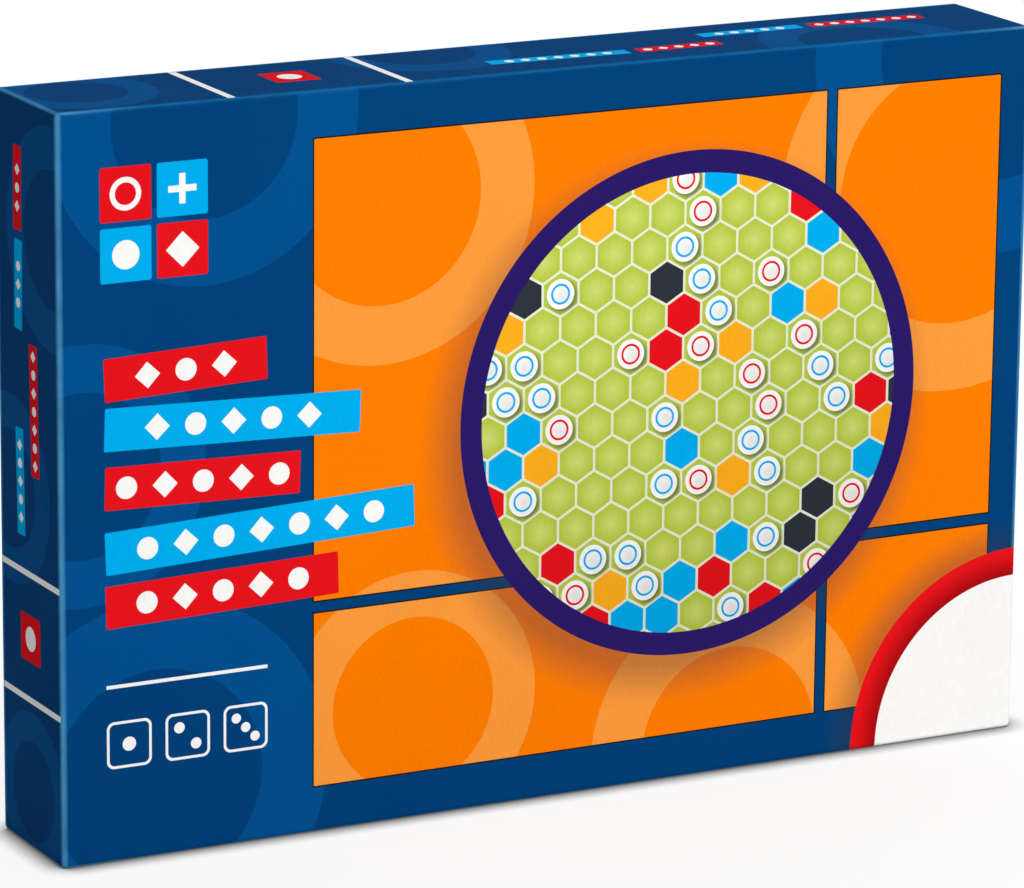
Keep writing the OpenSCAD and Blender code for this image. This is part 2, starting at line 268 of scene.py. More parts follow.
class Nodes:
    """Adds nodes to one tree and links or sets what they are given."""

    def __init__(self, tree):
        self.tree = tree

    def feed(self, socket, value):
        if isinstance(value, bpy.types.NodeSocket):
            self.tree.links.new(value, socket)
        elif socket.type == "RGBA" and len(value) == 3:
            socket.default_value = (*value, 1)
        else:
            socket.default_value = value

    def feed_named(self, sockets, values):
        """Feeds sockets that are named in small letters, with underscores for spaces."""
        for name, value in values.items():
            self.feed(sockets[name.replace("_", " ").title()], value)

    def add(self, kind, inputs=(), **settings):
        """New node, with its inputs given in order or by name or number."""
        node = self.tree.nodes.new(kind)
        for name, value in settings.items():
            setattr(node, name, value)
        named = inputs if isinstance(inputs, dict) else dict(enumerate(inputs))
        for name, value in named.items():
            self.feed(node.inputs[name], value)
        return node

    def math(self, operation, *values, clamp=False):
        return self.add("ShaderNodeMath", values, operation=operation, use_clamp=clamp).outputs[0]

    def plus(self, first, second):
        return self.math("ADD", first, second)

    def minus(self, first, second, clamp=False):
        return self.math("SUBTRACT", first, second, clamp=clamp)

    def times(self, first, second):
        return self.math("MULTIPLY", first, second)

    def over(self, first, second):
        return self.math("DIVIDE", first, second)

    def apart(self, first, second):
        return self.math("ABSOLUTE", self.minus(first, second))

    def above(self, value, start):
        return self.math("GREATER_THAN", value, start)

    def near(self, value, target, reach=0.1):
        return self.math("COMPARE", value, target, reach)

    def weighted(self, first, second, share):
        """Sum of two values with a share of the first."""
        return self.plus(self.times(first, share), self.times(second, 1 - share))

    def either(self, *masks):
        total = masks[0]
        for mask in masks[1:]:
            total = self.math("MAXIMUM", total, mask)
        return total

    def vector(self, operation, *values):
        outputs = self.add("ShaderNodeVectorMath", values, operation=operation).outputs
        return outputs["Value" if operation in ("LENGTH", "DOT_PRODUCT", "DISTANCE") else "Vector"]

    def scale(self, vector, amount):
        return self.add("ShaderNodeVectorMath", {0: vector, "Scale": amount}, operation="SCALE").outputs[0]

    def split(self, vector):
        return self.add("ShaderNodeSeparateXYZ", [vector]).outputs

    def join(self, x, y):
        return self.add("ShaderNodeCombineXYZ", (x, y)).outputs[0]

    def noise(self, vector, scale, detail=2.0, roughness=0.5):
        values = {"Vector": vector, "Scale": scale, "Detail": detail, "Roughness": roughness}
        return self.add("ShaderNodeTexNoise", values).outputs["Fac"]

    def ramp(self, value, low, high, start=0.0, end=1.0):
        return self.add("ShaderNodeMapRange", (value, low, high, start, end)).outputs[0]

    def mix(self, mask, under, over, kind="RGBA"):
        first, second, result = MIX_SOCKETS[kind]
        node = self.add("ShaderNodeMix", {0: mask, first: under, second: over}, data_type=kind)
        return node.outputs[result]

    def place(self, group, **values):
        node = self.add("ShaderNodeGroup", node_tree=bpy.data.node_groups[group])
        self.feed_named(node.inputs, values)
        return node.outputs

    def position(self):
        return self.add("ShaderNodeTexCoord").outputs["Object"]

    def millimetres(self, origin):
        """Millimetres across, back and up from a corner of the piece."""
        return self.split(self.scale(self.vector("SUBTRACT", self.position(), origin), MILLIMETRES))

    def wear(self, low, high, reach, fade=ONE):
        """Mask of the rubbed edges of a box between two corners, which on the box's paper also carry a painted
        highlight.
        """
        worn = self.place("Edge Wear And Highlight", position=self.position(), low=low, high=high, reach=reach, fade=fade)
        return worn["Mask"]


class Sheet(Nodes):
    """Nodes of a print, with its place across and up in millimetres and its colour so far."""

    def __init__(self, tree, u=None, v=None, colour=None):
        super().__init__(tree)
        self.u = u
        self.v = v
        self.colour = colour

    def paint(self, mask, shade, strength=None):
        if strength:
            mask = self.times(mask, strength)
        self.colour = self.mix(mask, self.colour, shade)

    def marks(self, group, names, marks, **same):
        """Mask of like marks, each given by its numbers in the order of the names."""
        placed = [
            self.place(group, u=self.u, v=self.v, **dict(zip(names, mark)), **same) for mark in marks]
        return self.either(*(mark["Mask"] for mark in placed))

    def tags(self, *marks):
        """Mask of rectangles: centre, half width, half height, corner radius and turn in degrees."""
        return self.marks("Print Tag", (*TAG_NUMBERS, "corner", "turn"), marks)

    def rings(self, *marks, softness=PRINT_EDGE):
        """Mask of rings: centre, middle radius and width."""
        names = ("centre_u", "centre_v", "radius", "width")
        return self.marks("Print Ring", names, marks, softness=softness)

    def discs(self, *marks, softness=PRINT_EDGE):
        """Mask of discs: centre and radius."""
        return self.rings(*((u, v, radius / 2, radius) for u, v, radius in marks), softness=softness)

    def tag_rows(self, white, *rows):
        """Paints tags with a row of marks: ink, centre, half width, half height and turn in degrees."""
        for number, (shade, *tag) in enumerate(rows):
            row = self.place(
                "Tag Row", u=self.u, v=self.v, first=number % 2, **dict(zip((*TAG_NUMBERS, "turn"), tag)))
            self.paint(row["Tag"], shade)
            self.paint(row["Marks"], white)

    def pip_frames(self, first, height):
        """Mask of three rounded frames with one, two and three pips."""
        spots = [(first + PIP_PITCH * step, height) for step in range(3)]
        outer = self.tags(*((*spot, 8, 8, 2.6) for spot in spots))
        inner = self.tags(*((*spot, 7.1, 7.1, 1.9) for spot in spots))
        pips = ((0, 0, 2.4), (18, 3, 1.9), (24, -3, 1.9), (38.6, 3.4, 1.7), (42, 0, 1.7), (45.4, -3.4, 1.7))
        dots = self.discs(*((first + across, height + up, size) for across, up, size in pips))
        return self.either(self.minus(outer, inner), dots)


class Surface(Sheet):
    """Nodes of a new material round its Principled shader."""

    def __init__(self, name, specular=0.0):
        self.material = bpy.data.materials.new(name)
        self.material.use_nodes = True
        super().__init__(self.material.node_tree)
        self.shader = self.tree.nodes["Principled BSDF"].inputs
        self.shader["Specular IOR Level"].default_value = specular

    def spread(self, tone, low=0.0, high=1.0):
        """Value that follows a grain's tone from low to high."""
        return self.ramp(tone, 0.3, 0.7, low, high)

    def finish(self, colour, roughness, height, strength, depth):
        """Feeds the shader a colour, a roughness and a bump."""
        bump = self.add("ShaderNodeBump", {"Height": height, "Strength": strength, "Distance": depth})
        self.feed(self.shader["Base Color"], colour)
        self.feed(self.shader["Roughness"], roughness)
        self.feed(self.shader["Normal"], bump.outputs[0])

    def varnish(self, tone, bare=None):
        """Thin uneven varnish, left off where the print is bare."""
        film = self.spread(tone, 0.6 * VARNISH, 1.4 * VARNISH)
        if bare:
            film = self.times(film, self.minus(1.0, bare))
        self.feed(self.shader["Coat Weight"], film)
        self.shader["Coat Roughness"].default_value = VARNISH_ROUGHNESS

    def finish_paper(self, wear, rubbed_and_highlight, relief=None, scale=1200):
        """Gives the print rubbed edges, which on the box also carry a painted highlight, paper grain and varnish.
        relief raises parts of it.
        """
        grain = self.place("Paper Grain", position=self.position(), scale=scale)
        fibrous = self.scale(self.colour, self.spread(grain["Tone"], 0.94, 1.05))
        gloss = self.plus(self.spread(grain["Tone"], 0.34, 0.46), self.times(wear, 0.2))
        height = self.times(grain["Height"], 0.25)
        if relief:
            height = self.plus(height, relief)
        self.varnish(grain["Tone"], wear)
        self.finish(self.mix(wear, fibrous, rubbed_and_highlight), gloss, height, strength=1.0, depth=PRINT_GRAIN)

    def finish_plastic(self, colour, factor, rough_low, rough_high, depth=FINE_GRAIN, scale=1600):
        """Moulded plastic with grain and flow marks, whose colour varies by up to a factor."""
        grain = self.place("Moulded Grain", position=self.position(), scale=scale)
        tint = self.mix(self.spread(grain["Tone"]), colour, toned(colour, factor))
        roughness = self.spread(grain["Tone"], rough_low, rough_high)
        self.finish(tint, roughness, grain["Height"], strength=0.3, depth=depth)


def start_print(name, ground, origin, across="X", up="Z", specular=0.0):
    """New print on a ground colour, laid out from a corner of its piece."""
    paper = Surface(name, specular)
    place = paper.millimetres(origin)
    paper.u = place[across]
    paper.v = place[up]
    paper.colour = ground
    return paper


def start_group(name, takes, *gives):
    """Empty node group with its sockets: the tree's nodes, its inputs and its outputs."""
    tree = bpy.data.node_groups.new(name, "ShaderNodeTree")
    for label, value in takes.items():
        kind = "NodeSocketFloat" if isinstance(value, float) else "NodeSocketVector"
        tree.interface.new_socket(label, in_out="INPUT", socket_type=kind).default_value = value
    for label in gives:
        kind = "NodeSocketColor" if label == "Color" else "NodeSocketFloat"
        tree.interface.new_socket(label, in_out="OUTPUT", socket_type=kind)
    nodes = Nodes(tree)
    return nodes, nodes.add("NodeGroupInput").outputs, nodes.add("NodeGroupOutput").inputs


def from_centre(nodes, takes):
    """Place from a mark's centre, turned back where the mark has a turn."""
    away = nodes.join(nodes.minus(takes["U"], takes["Centre U"]), nodes.minus(takes["V"], takes["Centre V"]))
    if "Turn" not in takes:
        return away
    angles = {"Vector": away, "Angle": nodes.math("RADIANS", takes["Turn"])}
    return nodes.add("ShaderNodeVectorRotate", angles, rotation_type="Z_AXIS", invert=True).outputs[0]


def soft_mask(nodes, distance, softness):
    """Mask of the inside of an outline, from the distance outside it."""
    return nodes.minus(0.5, nodes.over(distance, softness), clamp=True)


def group_print_tag():
    """Rectangle with round corners, turned about its centre."""
    nodes, takes, gives = start_group("Print Tag", {**TAG, "Corner": 0.5, "Softness": PRINT_EDGE}, "Mask")
    corner = nodes.join(takes["Corner"], takes["Corner"])
    half = nodes.join(takes["Half Width"], takes["Half Height"])
    past = nodes.vector("SUBTRACT", nodes.vector("ABSOLUTE", from_centre(nodes, takes)), half)
    past = nodes.vector("ADD", past, corner)
    outside = nodes.vector("LENGTH", nodes.vector("MAXIMUM", past, ZERO))
    parts = nodes.split(past)
    inside = nodes.math("MINIMUM", nodes.either(parts["X"], parts["Y"]), 0.0)
    distance = nodes.minus(nodes.plus(outside, inside), takes["Corner"])
    nodes.feed(gives["Mask"], soft_mask(nodes, distance, takes["Softness"]))


def group_print_ring():
    """Ring given by its middle radius and its width."""
    nodes, takes, gives = start_group(
        "Print Ring", {**MARK, "Radius": 5.0, "Width": 2.0, "Softness": PRINT_EDGE}, "Mask")
    off = nodes.apart(nodes.vector("LENGTH", from_centre(nodes, takes)), takes["Radius"])
    distance = nodes.minus(off, nodes.times(takes["Width"], 0.5))
    nodes.feed(gives["Mask"], soft_mask(nodes, distance, takes["Softness"]))


def group_tag_row():
    """Tag with a row of discs and diamonds in turn. First is 0 for a disc in the middle, 1 for a diamond."""
    nodes, takes, gives = start_group("Tag Row", {**TAG, "First": 0.0}, "Tag", "Marks")
    half = takes["Half Height"]
    spot = nodes.split(from_centre(nodes, takes))
    tag = nodes.place(
        "Print Tag", u=spot["X"], v=spot["Y"], half_width=takes["Half Width"], half_height=half)
    pitch = nodes.times(half, ROW_PITCH)
    step = nodes.over(spot["X"], pitch)
    cell = nodes.math("ROUND", step)
    inner = nodes.times(nodes.minus(step, cell), pitch)
    disc = nodes.place(
        "Print Ring", u=inner, v=spot["Y"], radius=nodes.times(half, ROW_DISC / 2),
        width=nodes.times(half, ROW_DISC))
    side = nodes.times(half, ROW_DIAMOND)
    diamond = nodes.place(
        "Print Tag", u=inner, v=spot["Y"], half_width=side, half_height=side, corner=0.2, turn=45)
    number = nodes.math("ABSOLUTE", cell)
    odd = nodes.math("MODULO", nodes.plus(number, takes["First"]), 2.0)
    marks = nodes.either(
        nodes.times(nodes.minus(1.0, odd), disc["Mask"]), nodes.times(odd, diamond["Mask"]))
    room = nodes.minus(takes["Half Width"], nodes.times(pitch, 0.5))
    inside = nodes.math("LESS_THAN", nodes.times(number, pitch), room)
    nodes.feed_named(gives, {"tag": tag["Mask"], "marks": nodes.times(marks, inside)})


def group_honeycomb():
    """Hexagons with a random value for each, the lines between them and two distances in each: Away from its
    middle, and Shadow from the point where a counter's shadow falls."""
    nodes, takes, gives = start_group(
        "Honeycomb", {"U": 0.0, "V": 0.0, "Pitch": COMB_PITCH}, "Chance", "Line", "Away", "Shadow")
    root = math.sqrt(3)
    cell, half = (1, root, 1), (0.5, root / 2, 0)
    spot = nodes.join(nodes.over(takes["U"], takes["Pitch"]), nodes.over(takes["V"], takes["Pitch"]))
    # A shift by whole cells, because the remainder needs numbers above zero
    spot = nodes.vector("ADD", spot, (40, 40 * root, 0))
    first = nodes.vector("SUBTRACT", nodes.vector("MODULO", spot, cell), half)
    second = nodes.vector("MODULO", nodes.vector("SUBTRACT", spot, half), cell)
    second = nodes.vector("SUBTRACT", second, half)
    nearer = nodes.math("LESS_THAN", nodes.vector("LENGTH", first), nodes.vector("LENGTH", second))
    local = nodes.mix(nearer, second, first, "VECTOR")
    # Snapped to a coarse grid, so that rounding can't change a hexagon's random value
    middle = nodes.vector("ADD", nodes.vector("SUBTRACT", spot, local), (0.05, 0.05, 0))
    middle = nodes.vector("SNAP", middle, (0.25, 0.25, 1))
    chance = nodes.add("ShaderNodeTexWhiteNoise", {"Vector": middle}, noise_dimensions="2D")
    side = nodes.vector("ABSOLUTE", local)
    edge = nodes.either(nodes.vector("DOT_PRODUCT", side, half), nodes.split(side)["X"])
    inside = nodes.scale(local, takes["Pitch"])
    nodes.feed_named(gives, {
        "chance": chance.outputs["Value"], "line": nodes.ramp(edge, 0.462, 0.472),
        "away": nodes.vector("LENGTH", inside), "shadow": nodes.vector("DISTANCE", inside, COUNTER_SHADOW)})


def group_edge_wear_and_highlight():
    """Rubbed band along the edges of a box between two corners; on the box it is also a painted highlight. Fade
    narrows the band along each axis.
    """
    nodes, takes, gives = start_group(
        "Edge Wear And Highlight", {"Position": ZERO, "Low": ZERO, "High": ONE, "Reach": 0.001, "Fade": ONE}, "Mask")
    near = nodes.vector(
        "MINIMUM", nodes.vector("SUBTRACT", takes["Position"], takes["Low"]),
        nodes.vector("SUBTRACT", takes["High"], takes["Position"]))
    parts = nodes.split(nodes.vector("MULTIPLY", near, takes["Fade"]))
    smaller = nodes.math("MINIMUM", parts["X"], parts["Y"])
    larger = nodes.either(parts["X"], parts["Y"])
    median = nodes.either(smaller, nodes.math("MINIMUM", larger, parts["Z"]))
    band = nodes.minus(1.0, nodes.over(median, takes["Reach"]), clamp=True)
    patches = nodes.noise(takes["Position"], scale=60, detail=6, roughness=0.65)
    patches = nodes.ramp(patches, 0.35, 0.7, 0.6, 1.0)
    nodes.feed(gives["Mask"], nodes.math("MULTIPLY", band, patches, clamp=True))


def group_paper_grain():
    """Fibres and slow cloudiness of paper or board: a tone around 0.5 and a height."""
    nodes, takes, gives = start_group("Paper Grain", {"Position": ZERO, "Scale": 1200.0}, "Tone", "Height")
    lie = {"Vector": takes["Position"], "Rotation": (0.3, 0.2, 0.5), "Scale": (1, 1, 0.35)}
    fibres = nodes.add("ShaderNodeMapping", lie).outputs[0]
    fine = nodes.noise(fibres, takes["Scale"], detail=4, roughness=0.6)
    slow = nodes.noise(takes["Position"], scale=22, detail=3)
    nodes.feed_named(gives, {"tone": nodes.weighted(fine, slow, 0.6), "height": fine})


def group_moulded_grain():
    """Fine sparked grain and slow flow marks of moulded plastic: a tone around 0.5 and a height."""
    nodes, takes, gives = start_group("Moulded Grain", {"Position": ZERO, "Scale": 1600.0}, "Tone", "Height")
    pits = nodes.add("ShaderNodeTexVoronoi", {"Vector": takes["Position"], "Scale": takes["Scale"]})
    fine = nodes.noise(takes["Position"], takes["Scale"])
    slow = nodes.noise(takes["Position"], scale=30, detail=4, roughness=0.55)
    height = nodes.weighted(pits.outputs["Distance"], fine, 0.5)
    nodes.feed_named(gives, {"tone": nodes.weighted(slow, fine, 0.7), "height": height})


def group_board_print(box):
    """Print of the open game board, in millimetres across and along it: squares in a navy margin, with painted
    shade along the fold.
    """
    nodes, takes, gives = start_group("Board Print", {"Across": 0.0, "Along": 0.0}, "Color")
    board = Sheet(nodes.tree, takes["Across"], takes["Along"], box.navy)
    ghosts = board.rings((40, 420, 46, 22), (250, 396, 34, 16), (330, 460, 52, 24))
    board.paint(ghosts, box.cyan, strength=0.22)
    half = CELL * CELLS / 2
    centre_u, centre_v = GRID_ACROSS + half, GRID_ALONG + half
    bars = board.tags((centre_u, 362, half, 5, 1.5), (122, 386, 40, 6, 1.5, 2), (122, 404, 56, 6, 1.5, -2))
    board.paint(bars, box.orange)
    column = nodes.over(nodes.minus(board.u, GRID_ACROSS), CELL)
    row = nodes.over(nodes.minus(board.v, GRID_ALONG), CELL)
    inner = [nodes.times(nodes.minus(nodes.math("FRACT", part), 0.5), CELL) for part in (column, row)]
    far = [nodes.apart(nodes.math("FLOOR", part), CELLS // 2) for part in (column, row)]
    reach = nodes.plus(*far)
    slant = nodes.apart(*far)
    glow = nodes.ramp(nodes.vector("LENGTH", nodes.join(*inner)), 0, 9, 0.55, 0.0)
    square = Sheet(nodes.tree, *inner, nodes.mix(glow, box.lime, box.glow))
    pipped = nodes.times(nodes.near(reach, 5.0), nodes.near(slant, 1.0))
    special = ((nodes.near(slant, 3.0), box.cyan), (nodes.near(reach, 10.0), box.amber), (pipped, box.red))
    for mask, shade in special:
        square.paint(mask, shade)
    ringed = nodes.either(*(mask for mask, shade in special))
    square.paint(nodes.times(ringed, square.rings((0, 0, 4.4, 1.2))), box.white)
    square.paint(nodes.times(pipped, square.discs((0, 0, 2.0))), box.white)
    square.paint(nodes.times(nodes.near(reach, 0.0), square.discs((0, 0, 3.2))), box.navy)
    cells = nodes.mix(square.tags((0, 0, 9.95, 9.95, 0.8)), line_ink(box), square.colour)
    board.paint(board.tags((centre_u, centre_v, half, half, 0.2)), cells)
    # Painted shade along the fold: the print darkens within about a millimetre of the crease
    from_fold = nodes.apart(board.v, MILLIMETRES * (FOLD_HEIGHT - BOARD_LOW.z))
    nodes.feed(gives["Color"], nodes.scale(board.colour, nodes.ramp(from_fold, 0.2, 1.2, 0.7, 1.0)))


def open_settings(context):
    """Settings of the box and of what lies in it, with the shared node groups made once."""
    box = context.scene.letter_game_box
    if "Print Tag" not in bpy.data.node_groups:
        group_print_tag()
        group_print_ring()
        group_tag_row()
        group_honeycomb()
        group_edge_wear_and_highlight()
        group_paper_grain()
        group_moulded_grain()
        group_board_print(box)
    return box, context.scene.letter_game_pieces


def box_wear_and_highlight(paper, box, low, high):
    """Edge wear and painted highlight of one half of the box: its mask, and its colour, which is paler near the
    two ends and a painted highlight along the long folds.
    """
    across = paper.millimetres(low)["X"]
    from_end = paper.math("MINIMUM", across, paper.minus(MILLIMETRES * (high.x - low.x), across))
    colour = paper.mix(paper.ramp(from_end, PALE_FULL, PALE_END), box.rubbed_and_highlight, box.fold)
    return paper.wear(low, high, BOX_WEAR_AND_HIGHLIGHT, BOX_FADE), colour


def honeycomb_colour(paper, box):
    """Lime hexagons with some in other inks and some that carry a white counter."""
    comb = paper.place("Honeycomb", u=paper.u, v=paper.v)
    chance, away, shadow = comb["Chance"], comb["Away"], comb["Shadow"]
    lime = paper.mix(paper.ramp(away, 0, 6.5, 0.6, 0.0), box.lime, box.glow)
    cells = Sheet(paper.tree, colour=lime)
    for start, shade in ((0.56, box.amber), (0.63, box.red), (0.7, box.cyan), (0.76, box.charcoal)):
        cells.paint(paper.above(chance, start), shade)
    counter = paper.above(chance, 0.8)
    cells.paint(counter, lime)
    cells.paint(comb["Line"], line_ink(box))
    cells.paint(paper.times(paper.ramp(shadow, 4.6, 6.4, 0.65, 0.0), counter), box.charcoal)
    top = paper.scale(box.white, paper.ramp(shadow, 4.2, 0.8, 1.0, 0.86))
    cells.paint(paper.times(paper.ramp(away, COUNTER, COUNTER + PRINT_EDGE, 1.0, 0.0), counter), top)
    ring = paper.mix(paper.above(chance, 0.9), box.cyan, box.red)
    cells.paint(paper.times(paper.near(away, 3.2, 0.4), counter), ring)
    slope = paper.minus(paper.v, paper.times(paper.u, 0.4))
    return paper.scale(cells.colour, paper.ramp(slope, -40, 130, 0.84, 1.06))


def cover_material(box):
    """Front of the lid: fields, rings, a honeycomb disc, tags with rows of marks, and plain shapes."""
    paper = start_print("Cover front print", box.blue, LID_LOW)
    ghosts = paper.rings((34, 26, 50, 24), (52, 246, 44, 22), (8, 132, 36, 16), (352, 246, 60, 26))
    paper.paint(ghosts, box.pale_blue)
    ghosts = paper.rings((116, 214, 46, 20), (336, 196, 58, 24), (128, 40, 38, 16), (250, 10, 44, 20))
    warm = paper.mix(ghosts, box.orange, box.pale_orange)
    # The orange field over its dark outline, both parted by bars
    for grow, corner, shade in ((0.5, 0.6, toned(box.charcoal, 0.2)), (0.0, 0.4, warm)):
        field = paper.tags((222, 126, 131 + grow, 110 + grow, corner))
        bars = paper.tags((286, 126, 2.2 - grow, 112, 0.2), (222, 78, 133, 2.2 - grow, 0.2))
        paper.paint(paper.minus(field, bars, clamp=True), shade)
    paper.paint(paper.discs((229, 126, 92), softness=14), box.charcoal, strength=0.45)
    paper.paint(paper.discs((233, 132, 88)), box.navy)
    paper.paint(paper.discs((233, 132, 80)), honeycomb_colour(paper, box))
    paper.tag_rows(
        box.white, (box.red, 45, 164, 29, 7.2, 2), (box.cyan, 62, 145, 46, 7.2, -2),
        (box.red, 51, 126, 35, 7.2, -1.5), (box.cyan, 72, 107, 56, 7.2, 2), (box.red, 58, 88, 42, 7.2, 1.5))
    paper.paint(paper.tags((24, 224, 9, 9, 0.8), (44, 204, 9, 9, 0.8)), box.red)
    paper.paint(paper.tags((44, 224, 9, 9, 0.8), (24, 204, 9, 9, 0.8)), box.cyan)
    white = paper.either(
        paper.rings((24, 224, 4.6, 1.8)), paper.discs((24, 204, 4.8)), paper.pip_frames(24, 40),
        paper.tags((44, 224, 5, 1.1, 0.1), (44, 224, 1.1, 5, 0.1), (44, 204, 4.2, 4.2, 0.4, 45)),
        paper.tags((45, 60, 29, 0.6, 0.2)))
    paper.paint(white, box.white)
    # The white corner in a red arc that darkens inwards
    paper.paint(paper.discs((363, 2, 70), softness=10), box.charcoal, strength=0.4)
    away = paper.vector("DISTANCE", paper.join(paper.u, paper.v), (365, 0, 0))
    corner = paper.discs((365, 0, 66))
    paper.paint(corner, paper.mix(paper.ramp(away, 56, 64), toned(box.red, 0.45), box.red))
    paper.paint(paper.discs((365, 0, 56)), box.white)
    # Edge wear with a painted highlight along the box's edges, kept off the white corner
    wear, worn = box_wear_and_highlight(paper, box, LID_LOW, LID_HIGH)
    paper.finish_paper(paper.times(wear, paper.minus(1.0, corner)), worn)
    return paper.material


def wall_material(name, box, along, half_stripe, stripes, rows, ghosts, tucks=()):
    """Wall of the lid: faint rings on blue, white cross stripes, small tags and ridges of tucked paper."""
    paper = start_print(name, box.blue, LID_LOW, along, "Y")
    paper.paint(paper.rings(*ghosts), box.pale_blue)
    paper.paint(paper.tags(*((spot, WALL_MIDDLE, half_stripe, 40, 0.1) for spot in stripes)), box.white)
    paper.tag_rows(box.white, *rows)
    relief = None
    if tucks:
        ridges = paper.tags(*((spot, WALL_MIDDLE, 7, 60, 0.1) for spot in tucks))
        relief = paper.times(ridges, TUCK_HEIGHT)
    paper.finish_paper(*box_wear_and_highlight(paper, box, LID_LOW, LID_HIGH), relief)
    return paper.material


def plain_paper(name, box, low, high, ghost):
    """Paper of the base's walls and of the turned-in margins: blue ground with a faint ring."""
    paper = start_print(name, box.blue, low)
    paper.paint(paper.rings(ghost), box.pale_blue)
    paper.finish_paper(*box_wear_and_highlight(paper, box, low, high))
    return paper.material


def back_material(box):
    """Back of the base: an orange panel with honeycomb discs, tags with rows of marks, lines and frames."""
    paper = start_print("Base back print", box.blue, Vector((BASE_HIGH.x, 0, BASE_LOW.z)))
    # The back is seen from behind, so it is laid out the other way round
    paper.u = paper.times(paper.u, -1.0)
    paper.paint(paper.rings((60, 40, 52, 24), (320, 226, 60, 26), (24, 220, 40, 18)), box.pale_blue)
    panel = paper.tags((180, 156, 150, 66, 3))
    bars = paper.tags((130, 156, 2.2, 70, 0.2), (240, 156, 2.2, 70, 0.2))
    ghosts = paper.rings((70, 190, 40, 18), (185, 120, 46, 20), (300, 176, 42, 18))
    paper.paint(paper.minus(panel, bars, clamp=True), paper.mix(ghosts, box.orange, box.pale_orange))
    for radius, shade in ((36, box.navy), (33, honeycomb_colour(paper, box))):
        paper.paint(paper.discs((80, 150, radius), (185, 160, radius), (286, 150, radius)), shade)
    paper.tag_rows(
        box.white, (box.red, 62, 66, 32, 5, 1.5), (box.cyan, 74, 52, 44, 5, -1.5),
        (box.red, 58, 38, 28, 5, -1.5))
    lines = paper.tags(*((218, 68 - 7 * step, 60 - 6 * (step % 3), 0.7, 0.3) for step in range(6)))
    white = paper.either(lines, paper.pip_frames(296, 34), paper.tags((180, 80, 150, 0.6, 0.1)))
    paper.paint(white, box.white)
    paper.finish_paper(*box_wear_and_highlight(paper, box, BASE_LOW, BASE_HIGH))
    return paper.material


def greyboard_material(box):
    """Bare greyboard, made once: warm grey with fibres and dark and pale flecks."""
    found = bpy.data.materials.get("Greyboard")
    if found:
        return found
    board = Surface("Greyboard", specular=0.05)
    pulp = board.noise(board.position(), scale=420, detail=5, roughness=0.7)
    flecks = board.noise(board.position(), scale=1900, detail=1)
    colour = board.mix(board.spread(pulp), toned(box.grey, 0.8), box.grey)
    colour = board.mix(board.ramp(flecks, 0.66, 0.72, 0, 0.45), colour, DARK_FLECK)
    colour = board.mix(board.ramp(flecks, 0.34, 0.28, 0, 0.5), colour, PALE_FLECK)
    board.finish(colour, board.spread(pulp, 0.82, 0.97), pulp, strength=0.5, depth=GREY_GRAIN)
    return board.material


def parts_of(geometry, kind):
    """The points, edges or faces in what a mesh operator gives back."""
    return [part for part in geometry if isinstance(part, kind)]


def link_mesh(bm, name):
    """Object of a finished bmesh, in the scene."""
    mesh = bpy.data.meshes.new(name)
    bm.to_mesh(mesh)
    bm.free()
    piece = bpy.data.objects.new(name, mesh)
    bpy.context.scene.collection.objects.link(piece)
    return piece


def add_piece(bm, name, materials, body, nodes):
    """Piece of a finished bmesh that rides on its body and stands for its CAD nodes, where it has them."""
    piece = link_mesh(bm, name)
    for material in materials:
        piece.data.materials.append(material)
    if body:
        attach(piece, body)
    if nodes:
        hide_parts(*nodes)
    return piece


def even_normals(piece):
    """Smooth shading that keeps the large flat faces flat."""
    for face in piece.data.polygons:
        face.use_smooth = True
    modifier = piece.modifiers.new("Even normals", "WEIGHTED_NORMAL")
    modifier.mode = "FACE_AREA"
    modifier.weight = 100
    modifier.keep_sharp = True


def round_off(bm, parts, radius, segments, affect="EDGES"):
    """Rounds edges or corners of a mesh."""
    bmesh.ops.bevel(
        bm, geom=parts, offset=radius, offset_type="OFFSET", segments=segments, profile=0.5, affect=affect,
        material=-1, clamp_overlap=True)


def open_box(low, high, open_side, radius):
    """Outside of half a box with round edges, open to the front or the back."""
    bm = bmesh.new()
    place = Matrix.Translation((high + low) / 2) @ Matrix.Diagonal((*(high - low), 1))
    bmesh.ops.create_cube(bm, size=1, matrix=place)
    mouth = max(bm.faces, key=lambda face: face.calc_center_median().y * open_side)
    bmesh.ops.delete(bm, geom=[mouth], context="FACES_ONLY")
    round_off(bm, [edge for edge in bm.edges if not edge.is_boundary], radius, segments=4)
    return bm


def draw_in(bm, points, low, high, amount):
    """Draws points in by an amount from the four sides of a box, seen from the front."""
    size = high - low
    shrink = (1 - 2 * amount / size.x, 1, 1 - 2 * amount / size.z)
    bmesh.ops.scale(bm, vec=shrink, space=Matrix.Translation(-(low + high) / 2), verts=points)


def thicken(bm, open_side, thickness):
    """Turns the faces outwards and gives the sheet its thickness on the inside."""
    bmesh.ops.recalc_face_normals(bm, faces=bm.faces)
    panel = max(bm.faces, key=lambda face: face.calc_area())
    if panel.normal.y * open_side > 0:
        bmesh.ops.reverse_faces(bm, faces=bm.faces)
    bmesh.ops.solidify(bm, geom=bm.faces[:], thickness=thickness)


